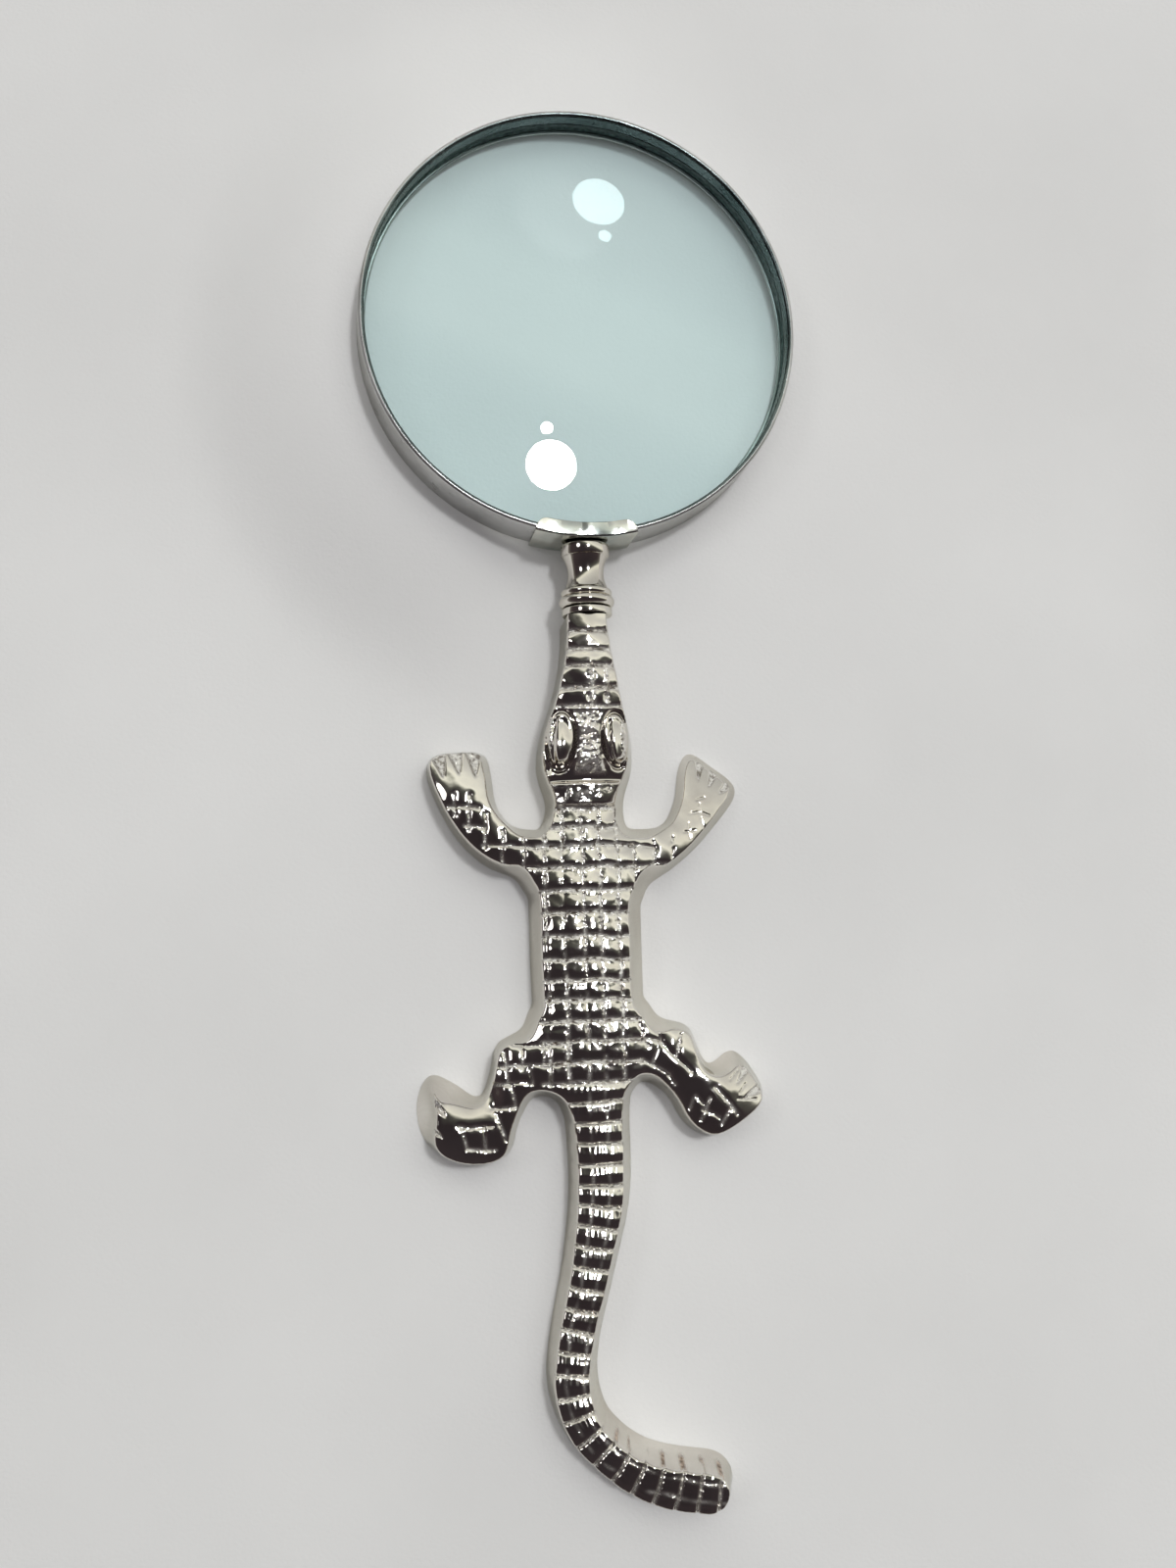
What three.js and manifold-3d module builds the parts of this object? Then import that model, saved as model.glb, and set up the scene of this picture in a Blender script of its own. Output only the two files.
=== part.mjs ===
import * as THREE from 'three';
import { mergeVertices } from 'three/addons/utils/BufferGeometryUtils.js';
import Module from 'manifold-3d';

// A hand magnifier: a round lens in a sheet-metal rim, a saddle clip and stud, a turned neck
// and a handle cast in the shape of a crocodile. Millimetres. The handle's flat cast back lies
// on Z = 0, +Y runs along the neck towards the lens, +X is to the right seen from above, and
// the origin is on the back, under the middle of the crocodile's body.

const wasm = await Module();
wasm.setup();

// Driving dimensions of the head
const LENS_DIAMETER = 101;
const LENS_FACE_RADIUS = 400;
const LENS_EDGE = 4.6;
const LENS_CHAMFER = 0.4;
const BAND_HEIGHT = 12.2;
const SHEET = 0.7;
const SLIT_WIDTH = 0.8;
const CLIP_WIDTH = 24;
const CLIP_OFFSET = -0.5;
const CLIP_THICKNESS = 0.5;
const CLIP_EDGE = 0.3;
const CLIP_EAR_DEPTH = 2.4;
const CLIP_EAR_MARGIN = 0.6;
const CLIP_CORNER = 2;
const RING_WIRE = 1.2;
const RING_GAP = 0.4;
const RING_OPENING_DEGREES = 8;

// Driving dimensions of the neck and its thread
const NECK_HEIGHT = 11.7;
const LENS_CENTRE_Y = 143.8;
const HEAD_ROLL_DEGREES = 6;
const STUD_RADIUS = 2.5;
const STUD_CHAMFER = 0.6;
const FLANGE_RADIUS = 3.4;
const FLANGE_LENGTH = 1.2;
const RIVET_RADIUS = 1.2;
const THREAD_ENGAGEMENT = 8.8;
const BEAD_RADIUS = 6.4;
const SMALL_BEAD_RADIUS = 5.9;
const BEAD_BULGE = 1;
const SMALL_BEAD_BULGE = 0.6;
const CAP_RADIUS = 5.6;
const COVE_END_RADIUS = 5.2;
const COLLAR_RADIUS = 5.8;
const COLLAR_LENGTH = 1.6;
const BEAD_LENGTH = 2.5;
const SMALL_BEAD_LENGTH = 1.7;
const CAP_LENGTH = 2.8;
const COVE_RADIUS = 7.8;
const TURNED_EDGE = 0.3;

// Driving dimensions of the casting
const SNOUT_END_Y = 74.2;
const LIMB_HEIGHT = 12.5;
const LIMB_ROUNDING = 4;
const LIMB_INSET = 1.3;
const BORE_DEPTH = 9.6;

// Clearance between neighbouring pieces, and how far a cutter runs past what it cuts
const GAP = 0.3;
const OVERRUN = 2;

// Straight facets in one full turn
const HOOP_SEGMENTS = 96;
const CLIP_SEGMENTS = 120;
const TURNED_SEGMENTS = 40;
const STUD_SEGMENTS = 28;
const HOLE_SEGMENTS = 20;

const UP = new THREE.Vector3(0, 0, 1);

const NICKEL = { color: 0xb8b3a8, roughness: 0.15, metalness: 1 };
const SATIN_NICKEL = { color: 0x9a9894, roughness: 0.35, metalness: 1 };
const STEEL = { color: 0x8c8c8c, roughness: 0.4, metalness: 1 };
const GLASS = { color: 0xbfcfcd, roughness: 0.03, metalness: 0, transparent: true, opacity: 0.4 };

// Radii of the head that follow from the driving dimensions
const lensRadius = LENS_DIAMETER / 2;
const bandInside = lensRadius + GAP;
const bandOutside = bandInside + SHEET;
const clipInside = bandOutside + GAP;
const clipOutside = clipInside + CLIP_THICKNESS;
const boreRadius = STUD_RADIUS + GAP;

// ---- Solids -------------------------------------------------------------------------------

function toSolid(geometry) {
  geometry.deleteAttribute('normal');
  geometry.deleteAttribute('uv');
  const merged = mergeVertices(geometry, 1e-4);
  const vertProperties = new Float32Array(merged.attributes.position.array);
  const triVerts = new Uint32Array(merged.index.array);
  return new wasm.Manifold(new wasm.Mesh({ numProp: 3, vertProperties, triVerts }));
}

function toGeometry(solid) {
  const mesh = solid.getMesh();
  const geometry = new THREE.BufferGeometry();
  geometry.setAttribute('position', new THREE.BufferAttribute(mesh.vertProperties, 3));
  geometry.setIndex(new THREE.BufferAttribute(mesh.triVerts, 1));
  geometry.computeVertexNormals();
  return geometry;
}

function piece(name, geometry, finish) {
  const mesh = new THREE.Mesh(geometry, new THREE.MeshStandardMaterial(finish));
  mesh.name = name;
  return mesh;
}

// A ring or disc turned about Z from a profile of (radius, height) points
function turnedAboutZ(profile, segments) {
  return new THREE.LatheGeometry(profile, segments).rotateX(Math.PI / 2);
}

function box(width, depth, height, x, y, z) {
  return toSolid(new THREE.BoxGeometry(width, depth, height).translate(x, y, z));
}

// ---- Head: lens, rim, retaining ring and saddle clip, about the lens's own Z axis -----------

function lensGeometry() {
  const sag = LENS_FACE_RADIUS - Math.sqrt(LENS_FACE_RADIUS ** 2 - lensRadius ** 2);
  const halfEdge = LENS_EDGE / 2;
  const faceSteps = 6;
  const top = [];
  for (let i = 0; i <= faceSteps; i += 1) {
    const radius = (lensRadius - LENS_CHAMFER) * (1 - i / faceSteps);
    const drop = LENS_FACE_RADIUS - Math.sqrt(LENS_FACE_RADIUS ** 2 - radius ** 2);
    top.push(new THREE.Vector2(radius, halfEdge + sag - drop));
  }
  const bottom = top.map((point) => new THREE.Vector2(point.x, -point.y)).reverse();
  const edge = [
    new THREE.Vector2(lensRadius, LENS_CHAMFER - halfEdge),
    new THREE.Vector2(lensRadius, halfEdge - LENS_CHAMFER),
  ];
  return turnedAboutZ([...bottom, ...edge, ...top], HOOP_SEGMENTS);
}

// The rim is one strip of sheet bent into a hoop. Its top edge is folded in and down as a hem,
// which stops the lens, and its two ends meet at a slit that the saddle clip hides.
function rimBandGeometry() {
  const half = BAND_HEIGHT / 2;
  const hemInside = bandInside - SHEET;
  const hemFoot = LENS_EDGE / 2 + GAP;
  const foldHeight = half - SHEET;
  const profile = [
    new THREE.Vector2(bandInside, -half),
    new THREE.Vector2(bandOutside, -half),
    new THREE.Vector2(bandOutside, foldHeight),
  ];
  for (const degrees of [45, 90, 135]) {
    const angle = THREE.MathUtils.degToRad(degrees);
    const radius = bandInside + SHEET * Math.cos(angle);
    profile.push(new THREE.Vector2(radius, foldHeight + SHEET * Math.sin(angle)));
  }
  profile.push(new THREE.Vector2(hemInside, foldHeight));
  profile.push(new THREE.Vector2(hemInside, hemFoot));
  profile.push(new THREE.Vector2(bandInside, hemFoot));
  profile.push(new THREE.Vector2(bandInside, -half));
  const hoop = toSolid(turnedAboutZ(profile, HOOP_SEGMENTS));
  const slitDepth = 2 * (SHEET + OVERRUN);
  const slit = box(SLIT_WIDTH, slitDepth, BAND_HEIGHT + OVERRUN, 0, -bandInside, 0);
  return toGeometry(hoop.subtract(slit).subtract(rivetHole()));
}

// A sprung wire ring, open behind the clip, that keeps the lens up against the hem
class RingCurve extends THREE.Curve {
  constructor(radius, height, openingDegrees) {
    super();
    this.radius = radius;
    this.height = height;
    this.opening = THREE.MathUtils.degToRad(openingDegrees);
  }

  getPoint(t, target = new THREE.Vector3()) {
    const angle = -Math.PI / 2 + this.opening / 2 + t * (2 * Math.PI - this.opening);
    return target.set(this.radius * Math.cos(angle), this.radius * Math.sin(angle), this.height);
  }
}

function retainingRingGeometry() {
  const wireRadius = RING_WIRE / 2;
  const height = -(LENS_EDGE / 2 + RING_GAP + wireRadius);
  const curve = new RingCurve(bandInside - GAP - wireRadius, height, RING_OPENING_DEGREES);
  const section = new THREE.Shape().absarc(0, 0, wireRadius, 0, 2 * Math.PI);
  return new THREE.ExtrudeGeometry(section, {
    extrudePath: curve,
    steps: 72,
    curveSegments: 6,
    bevelEnabled: false,
  });
}

// Clearance hole for the stud's riveted tail, through the clip and between the strip's ends
function rivetHole() {
  const radius = RIVET_RADIUS + GAP;
  const length = 2 * (SHEET + OVERRUN);
  const hole = new THREE.CylinderGeometry(radius, radius, length, HOLE_SEGMENTS);
  return toSolid(hole.translate(0, -bandOutside, 0));
}

// A strap over the rim's slit, its ears folded in over both edges of the band
function saddleClipGeometry() {
  const bandTop = BAND_HEIGHT / 2 + GAP;
  const clipTop = bandTop + CLIP_THICKNESS;
  const earInside = clipInside - CLIP_EAR_DEPTH;
  const profile = [
    new THREE.Vector2(earInside, -clipTop),
    new THREE.Vector2(clipOutside - CLIP_EDGE, -clipTop),
    new THREE.Vector2(clipOutside, CLIP_EDGE - clipTop),
    new THREE.Vector2(clipOutside, clipTop - CLIP_EDGE),
    new THREE.Vector2(clipOutside - CLIP_EDGE, clipTop),
    new THREE.Vector2(earInside, clipTop),
    new THREE.Vector2(earInside, bandTop),
    new THREE.Vector2(clipInside, bandTop),
    new THREE.Vector2(clipInside, -bandTop),
    new THREE.Vector2(earInside, -bandTop),
    new THREE.Vector2(earInside, -clipTop),
  ];
  const channel = toSolid(turnedAboutZ(profile, CLIP_SEGMENTS));

  const half = CLIP_WIDTH / 2;
  const inner = CLIP_EAR_MARGIN - earInside * Math.cos(half / earInside);
  const outline = new THREE.Shape();
  outline.moveTo(-half, -clipOutside - OVERRUN);
  outline.lineTo(half, -clipOutside - OVERRUN);
  outline.lineTo(half, inner - CLIP_CORNER);
  outline.absarc(half - CLIP_CORNER, inner - CLIP_CORNER, CLIP_CORNER, 0, Math.PI / 2);
  outline.absarc(CLIP_CORNER - half, inner - CLIP_CORNER, CLIP_CORNER, Math.PI / 2, Math.PI);
  const depth = 2 * (clipTop + OVERRUN);
  const cutter = new THREE.ExtrudeGeometry(outline, { depth, bevelEnabled: false, curveSegments: 4 });
  const strap = channel.intersect(toSolid(cutter.translate(CLIP_OFFSET, 0, -depth / 2)));
  return toGeometry(strap.subtract(rivetHole()));
}

// ---- Stud, neck and collar, turned about Y -------------------------------------------------

// The stud's Y is counted from the lens centre, like the rest of the head. Its tail is riveted
// through the clip, its flange bears on the clip, and its thread screws into the handle.
function studGeometry() {
  const endY = SNOUT_END_Y - THREAD_ENGAGEMENT - LENS_CENTRE_Y;
  const flangeY = -(clipOutside + GAP);
  return new THREE.LatheGeometry([
    new THREE.Vector2(0, endY),
    new THREE.Vector2(STUD_RADIUS - STUD_CHAMFER, endY),
    new THREE.Vector2(STUD_RADIUS, endY + STUD_CHAMFER),
    new THREE.Vector2(STUD_RADIUS, flangeY - FLANGE_LENGTH),
    new THREE.Vector2(FLANGE_RADIUS, flangeY - FLANGE_LENGTH),
    new THREE.Vector2(FLANGE_RADIUS, flangeY),
    new THREE.Vector2(RIVET_RADIUS, flangeY),
    new THREE.Vector2(RIVET_RADIUS, GAP / 2 - bandOutside),
    new THREE.Vector2(0, GAP / 2 - bandOutside),
  ], STUD_SEGMENTS);
}

// Half-round bead of a turned profile, from startY over a length
function beadPoints(startY, length, radius, bulge) {
  const points = [];
  const steps = 4;
  for (let i = 0; i <= steps; i += 1) {
    const angle = Math.PI * (i / steps);
    const y = startY + (length / 2) * (1 - Math.cos(angle));
    points.push(new THREE.Vector2(radius - bulge + bulge * Math.sin(angle), y));
  }
  return points;
}

function covePoints(startY, endY, endRadius) {
  const half = (endY - startY) / 2;
  const middle = startY + half;
  const centreRadius = endRadius + Math.sqrt(COVE_RADIUS ** 2 - half ** 2);
  const points = [];
  const steps = 8;
  for (let i = 0; i <= steps; i += 1) {
    const y = startY + (endY - startY) * (i / steps);
    const radius = centreRadius - Math.sqrt(COVE_RADIUS ** 2 - (y - middle) ** 2);
    points.push(new THREE.Vector2(radius, y));
  }
  return points;
}

const ferruleStartY = SNOUT_END_Y + GAP + COLLAR_LENGTH + GAP;
const ferruleEndY = LENS_CENTRE_Y - clipOutside - GAP;

// The loose turned sleeve round the stud, counterbored for the stud's flange
function neckFerruleGeometry() {
  const smallBeadY = ferruleStartY + BEAD_LENGTH;
  const coveY = smallBeadY + SMALL_BEAD_LENGTH;
  const capY = ferruleEndY - CAP_LENGTH;
  const seatY = ferruleEndY - FLANGE_LENGTH - GAP;
  const profile = [
    new THREE.Vector2(boreRadius, ferruleStartY),
    ...beadPoints(ferruleStartY, BEAD_LENGTH, BEAD_RADIUS, BEAD_BULGE),
    ...beadPoints(smallBeadY, SMALL_BEAD_LENGTH, SMALL_BEAD_RADIUS, SMALL_BEAD_BULGE).slice(1),
    ...covePoints(coveY, capY, COVE_END_RADIUS).slice(1),
    new THREE.Vector2(CAP_RADIUS, capY + TURNED_EDGE),
    new THREE.Vector2(CAP_RADIUS, ferruleEndY - TURNED_EDGE),
    new THREE.Vector2(CAP_RADIUS - TURNED_EDGE, ferruleEndY),
    new THREE.Vector2(FLANGE_RADIUS + GAP, ferruleEndY),
    new THREE.Vector2(FLANGE_RADIUS + GAP, seatY),
    new THREE.Vector2(boreRadius, seatY),
    new THREE.Vector2(boreRadius, ferruleStartY),
  ];
  return new THREE.LatheGeometry(profile, TURNED_SEGMENTS).translate(0, 0, NECK_HEIGHT);
}

function collarRingGeometry() {
  const startY = SNOUT_END_Y + GAP;
  const endY = startY + COLLAR_LENGTH;
  const profile = [
    new THREE.Vector2(boreRadius, startY),
    new THREE.Vector2(COLLAR_RADIUS - TURNED_EDGE, startY),
    new THREE.Vector2(COLLAR_RADIUS, startY + TURNED_EDGE),
    new THREE.Vector2(COLLAR_RADIUS, endY - TURNED_EDGE),
    new THREE.Vector2(COLLAR_RADIUS - TURNED_EDGE, endY),
    new THREE.Vector2(boreRadius, endY),
    new THREE.Vector2(boreRadius, startY),
  ];
  return new THREE.LatheGeometry(profile, TURNED_SEGMENTS).translate(0, 0, NECK_HEIGHT);
}

// ---- Crocodile casting ----------------------------------------------------------------------

// Stations from snout to tail: [x, y, half width of the flat back, height of the crown]
const SPINE = [
  [0, SNOUT_END_Y, 5.7, 17.4],
  [0.2, 66, 6.5, 17],
  [0, 56, 8.6, 16.2],
  [-0.7, 46, 11.1, 15.6],
  [-1.3, 40, 11.3, 15],
  [-1.4, 31, 9.1, 14.5],
  [-2, 20, 12.2, 14.5],
  [-2.1, 8, 13.1, 14],
  [-2.1, -13, 13, 14],
  [-1.5, -28, 9.8, 13.6],
  [-0.9, -40, 7.5, 13],
  [-1, -57, 7.1, 12.5],
  [-4, -73, 6.1, 12],
  [-7.8, -89, 5.7, 12],
  [-8.5, -98, 5.8, 12],
  [-6, -106.5, 5.6, 12],
  [-1, -112.2, 5.4, 12],
  [5, -116.6, 5.7, 12],
  [12, -119.3, 6.1, 12],
  [20.8, -120.9, 6.2, 11.6],
];
const SPINE_STEPS = 84;
const DRAFT = 0.23;
const CROWN_SHARE = 0.31;
const TAIL_END_DROP = 0.1;
const OUTLINE_STEPS = 4;

// Flat-backed section: drafted side walls under a crowned top, as points across the path
function castSection(halfWidth, height) {
  const crown = CROWN_SHARE * height;
  const wallTop = height - crown;
  const topHalf = halfWidth * (1 - DRAFT);
  const section = [new THREE.Vector2(-halfWidth, 0)];
  for (const degrees of [180, 150, 120, 90, 60, 30, 0]) {
    const angle = THREE.MathUtils.degToRad(degrees);
    section.push(new THREE.Vector2(topHalf * Math.cos(angle), wallTop + crown * Math.sin(angle)));
  }
  section.push(new THREE.Vector2(halfWidth, 0));
  return section;
}

function placeSection(section, centre, tangent) {
  const across = new THREE.Vector3().crossVectors(tangent, UP).normalize();
  return section.map((point) => centre.clone()
    .addScaledVector(across, point.x)
    .addScaledVector(UP, point.y));
}

// Closed surface through rings of equally many points, with a fan over each end
function loft(rings) {
  const count = rings[0].length;
  const positions = rings.flat().flatMap((point) => [point.x, point.y, point.z]);
  const indices = [];
  for (let ring = 0; ring + 1 < rings.length; ring += 1) {
    for (let i = 0; i < count; i += 1) {
      const a = ring * count + i;
      const b = ring * count + ((i + 1) % count);
      indices.push(a, b, b + count, a, b + count, a + count);
    }
  }
  const last = (rings.length - 1) * count;
  for (let i = 1; i + 1 < count; i += 1) {
    indices.push(0, i + 1, i);
    indices.push(last, last + i, last + i + 1);
  }
  const geometry = new THREE.BufferGeometry();
  geometry.setAttribute('position', new THREE.Float32BufferAttribute(positions, 3));
  geometry.setIndex(indices);
  return geometry;
}

function spineSolid() {
  const path = new THREE.CatmullRomCurve3(SPINE.map(([x, y]) => new THREE.Vector3(x, y, 0)));
  const sizes = new THREE.CatmullRomCurve3(SPINE.map(([, , w, h]) => new THREE.Vector3(w, h, 0)));
  const rings = [];
  for (let i = 0; i <= SPINE_STEPS; i += 1) {
    const t = i / SPINE_STEPS;
    const size = sizes.getPoint(t);
    rings.push(placeSection(castSection(size.x, size.y), path.getPoint(t), path.getTangent(t)));
  }
  const end = path.getPoint(1);
  const direction = path.getTangent(1);
  const size = sizes.getPoint(1);
  for (const degrees of [20, 40, 60, 80]) {
    const angle = THREE.MathUtils.degToRad(degrees);
    const centre = end.clone().addScaledVector(direction, size.x * Math.sin(angle));
    const height = size.y * (1 - TAIL_END_DROP * (1 - Math.cos(angle)));
    const section = castSection(size.x * Math.cos(angle), height);
    rings.push(placeSection(section, centre, direction));
  }
  return toSolid(loft(rings));
}

// Outlines of the limbs on the flat back, each a smooth closed curve through these points.
// The points next to the body give the fillets where a limb leaves it.
const LEFT_ARM = [
  [-4, 26], [-13.2, 26.3], [-18.4, 27.3], [-22, 32], [-23.1, 39.5], [-24.6, 44.4],
  [-31, 45.1], [-37, 44], [-38.3, 40.5], [-35.6, 32], [-30.6, 23.4], [-24.4, 17.8],
  [-18, 14.8], [-15.2, 10.5], [-4, 7],
];
const RIGHT_ARM = [
  [3, 26], [11, 25.8], [16.7, 26.5], [20, 32.4], [21.2, 39.8], [23.6, 43.6],
  [28.6, 40.6], [34.6, 35.2], [34.2, 32.4], [29.9, 26.8], [24.5, 20.9], [18.8, 16.2],
  [13, 12.4], [11, 8.5], [3, 6],
];
const RIGHT_LEG = [
  [-1, -12], [10.9, -13.6], [14.2, -18], [21, -20.4], [23.1, -25.6], [25.4, -29.4],
  [30.9, -26.2], [35.8, -31.2], [37.9, -37.4], [31.6, -42.9], [24.6, -45.6], [19.2, -42.5],
  [15, -35.5], [9.7, -32.6], [6.6, -35.6], [-1, -37],
];
const LEFT_LEG = [
  [-4, -12], [-15.1, -14.4], [-17.7, -19.6], [-23.5, -22.8], [-25.4, -29.5], [-27.9, -34.8],
  [-33.8, -31.2], [-38.8, -29.2], [-41.9, -34.2], [-41, -43], [-35.8, -48.1], [-27.4, -49.8],
  [-21.3, -47.8], [-18.9, -40.8], [-15.2, -35.2], [-10.2, -36.2], [-8.2, -40], [-1, -41],
];

function limbSolid(outline) {
  const points = outline.map(([x, y]) => new THREE.Vector3(x, y, 0));
  const curve = new THREE.CatmullRomCurve3(points, true, 'centripetal');
  const smooth = curve.getPoints(OUTLINE_STEPS * points.length).slice(0, -1);
  const shape = new THREE.Shape(smooth.map((point) => new THREE.Vector2(point.x, point.y)));
  const limb = new THREE.ExtrudeGeometry(shape, {
    depth: LIMB_HEIGHT - LIMB_ROUNDING,
    bevelThickness: LIMB_ROUNDING,
    bevelSize: LIMB_INSET,
    bevelOffset: -LIMB_INSET,
    bevelSegments: 3,
  });
  return toSolid(limb);
}

function crocodileGeometry() {
  const limbs = [LEFT_ARM, RIGHT_ARM, RIGHT_LEG, LEFT_LEG].map(limbSolid);
  const body = limbs.reduce((solid, limb) => solid.add(limb), spineSolid());
  const belowBack = box(200, 400, 20, 0, 0, -10);
  const length = BORE_DEPTH + OVERRUN;
  const bore = new THREE.CylinderGeometry(boreRadius, boreRadius, length, STUD_SEGMENTS);
  bore.translate(0, SNOUT_END_Y + (OVERRUN - BORE_DEPTH) / 2, NECK_HEIGHT);
  return toGeometry(body.subtract(belowBack).subtract(toSolid(bore)));
}

// ---- Assembly -------------------------------------------------------------------------------

const head = new THREE.Group();
head.position.set(0, LENS_CENTRE_Y, NECK_HEIGHT);
head.rotation.y = THREE.MathUtils.degToRad(HEAD_ROLL_DEGREES);
head.add(piece('lens', lensGeometry(), GLASS));
head.add(piece('rim_band', rimBandGeometry(), SATIN_NICKEL));
head.add(piece('lens_retaining_ring', retainingRingGeometry(), STEEL));
head.add(piece('saddle_clip', saddleClipGeometry(), NICKEL));
head.add(piece('threaded_stud', studGeometry(), STEEL));

const magnifier = new THREE.Group();
magnifier.add(head);
magnifier.add(piece('neck_ferrule', neckFerruleGeometry(), NICKEL));
magnifier.add(piece('collar_ring', collarRingGeometry(), NICKEL));
magnifier.add(piece('crocodile_handle', crocodileGeometry(), NICKEL));

export default magnifier;
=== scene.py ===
import math

import bmesh
import bpy
import numpy as np
from mathutils import Matrix, Vector, kdtree


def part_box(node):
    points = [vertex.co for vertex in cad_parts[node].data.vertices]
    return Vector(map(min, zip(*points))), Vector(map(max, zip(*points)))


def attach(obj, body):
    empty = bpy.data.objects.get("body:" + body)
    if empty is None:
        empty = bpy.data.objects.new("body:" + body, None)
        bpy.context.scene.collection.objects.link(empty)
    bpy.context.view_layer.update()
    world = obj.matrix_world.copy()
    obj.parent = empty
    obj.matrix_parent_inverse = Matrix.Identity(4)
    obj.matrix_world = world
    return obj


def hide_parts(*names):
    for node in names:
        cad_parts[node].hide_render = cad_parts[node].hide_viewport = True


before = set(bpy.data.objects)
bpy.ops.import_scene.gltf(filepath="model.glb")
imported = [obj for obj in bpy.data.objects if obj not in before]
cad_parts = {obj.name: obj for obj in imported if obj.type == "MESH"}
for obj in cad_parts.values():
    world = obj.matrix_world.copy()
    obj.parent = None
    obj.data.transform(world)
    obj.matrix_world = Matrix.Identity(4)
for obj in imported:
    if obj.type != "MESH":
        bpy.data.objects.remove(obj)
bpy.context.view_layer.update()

# A nickel-plated magnifier with a cast crocodile handle, rebuilt finely around the CAD frame.
# The mesh code below works in millimetres; MM turns them into Blender's metres.

MM = 0.001
RANDOM = np.random.default_rng(7)


def low(node):
    return np.array(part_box(node)[0]) / MM


def high(node):
    return np.array(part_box(node)[1]) / MM


# ---- Places taken from the frame ----

LENS_CENTRE = (low("lens") + high("lens")) / 2
NECK_Z = (low("neck_ferrule")[2] + high("neck_ferrule")[2]) / 2
FERRULE_START = low("neck_ferrule")[1]
FERRULE_END = high("neck_ferrule")[1]
COLLAR_START = low("collar_ring")[1]
COLLAR_END = high("collar_ring")[1]
COLLAR_RADIUS = high("collar_ring")[0]
BEAD_RADIUS = high("neck_ferrule")[0]
STUD_START = low("threaded_stud")[1]
LENS_RADIUS = (high("lens")[1] - low("lens")[1]) / 2
BAND_RADIUS = (high("rim_band")[1] - low("rim_band")[1]) / 2
HEAD_ROLL = math.radians(6)
SNOUT_END = COLLAR_START - 0.3


# ---- Camera ----

def add_camera():
    data = bpy.data.cameras.new("camera")
    data.sensor_width = 36
    data.lens = 34.7
    camera = bpy.data.objects.new("camera", data)
    right = Vector((0.99690, -0.03471, 0.07061))
    up = Vector((0.02620, 0.99265, 0.11811))
    back = Vector((-0.07419, -0.11590, 0.99049))
    turn = Matrix((right, up, back)).transposed().to_4x4()
    place = Vector((-26.757, -4.498, 353.535)) * MM
    camera.matrix_world = Matrix.Translation(place) @ turn
    bpy.context.scene.collection.objects.link(camera)
    bpy.context.scene.camera = camera


# ---- Materials ----

def new_material(name):
    material = bpy.data.materials.new(name)
    material.use_nodes = True
    nodes = material.node_tree.nodes
    links = material.node_tree.links
    shader = nodes["Principled BSDF"]
    return material, nodes, links, shader


def object_noise(nodes, links, scale, detail):
    place = nodes.new("ShaderNodeTexCoord")
    noise = nodes.new("ShaderNodeTexNoise")
    noise.inputs["Scale"].default_value = scale
    noise.inputs["Detail"].default_value = detail
    noise.inputs["Roughness"].default_value = 0.5
    links.new(place.outputs["Object"], noise.inputs["Vector"])
    return noise.outputs["Fac"]


def ramp(nodes, links, value, stops):
    node = nodes.new("ShaderNodeValToRGB")
    elements = node.color_ramp.elements
    elements[0].position, elements[0].color = stops[0][0], (*stops[0][1], 1)
    elements[1].position, elements[1].color = stops[-1][0], (*stops[-1][1], 1)
    for position, colour in stops[1:-1]:
        elements.new(position).color = (*colour, 1)
    links.new(value, node.inputs["Fac"])
    return node.outputs["Color"]


def mix_colours(nodes, links, share, first, second):
    node = nodes.new("ShaderNodeMix")
    node.data_type = "RGBA"
    factor = next(i for i in node.inputs if i.identifier == "Factor_Float")
    one = next(i for i in node.inputs if i.identifier == "A_Color")
    two = next(i for i in node.inputs if i.identifier == "B_Color")
    links.new(share, factor)
    links.new(first, one)
    links.new(second, two)
    return next(o for o in node.outputs if o.identifier == "Result_Color")


def math_node(nodes, links, operation, first, second):
    node = nodes.new("ShaderNodeMath")
    node.operation = operation
    for socket, value in zip(node.inputs, (first, second)):
        if isinstance(value, (int, float)):
            socket.default_value = value
        else:
            links.new(value, socket)
    return node.outputs["Value"]


def bump(nodes, links, shader, height, distance, strength, under=None):
    node = nodes.new("ShaderNodeBump")
    node.inputs["Distance"].default_value = distance * MM
    node.inputs["Strength"].default_value = strength
    links.new(height, node.inputs["Height"])
    if under is not None:
        links.new(under, node.inputs["Normal"])
    links.new(node.outputs["Normal"], shader.inputs["Normal"])
    return node.outputs["Normal"]


# The plate's tint where it is seen edge on
WALL_TINT = (0.72, 0.72, 0.68, 1)


def nickel(name, bright, dull, low_roughness, high_roughness, unevenness):
    """Polished nickel plate: patchy warmth, patchy polish and a faintly uneven surface."""
    material, nodes, links, shader = new_material(name)
    shader.inputs["Metallic"].default_value = 1.0
    shader.inputs["Specular Tint"].default_value = WALL_TINT
    patches = object_noise(nodes, links, scale=90, detail=4)
    links.new(ramp(nodes, links, patches, [(0.35, dull), (0.65, bright)]), shader.inputs["Base Color"])
    haze = object_noise(nodes, links, scale=260, detail=5)
    polish = math_node(nodes, links, "MULTIPLY", haze, high_roughness - low_roughness)
    links.new(math_node(nodes, links, "ADD", polish, low_roughness), shader.inputs["Roughness"])
    waves = object_noise(nodes, links, scale=350, detail=2)
    ripple = bump(nodes, links, shader, waves, distance=unevenness, strength=0.6)
    scratches = object_noise(nodes, links, scale=2500, detail=2)
    bump(nodes, links, shader, scratches, distance=0.004, strength=0.5, under=ripple)
    return material


def point_value(nodes, name):
    attribute = nodes.new("ShaderNodeAttribute")
    attribute.attribute_name = name
    return attribute.outputs["Fac"]


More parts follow.
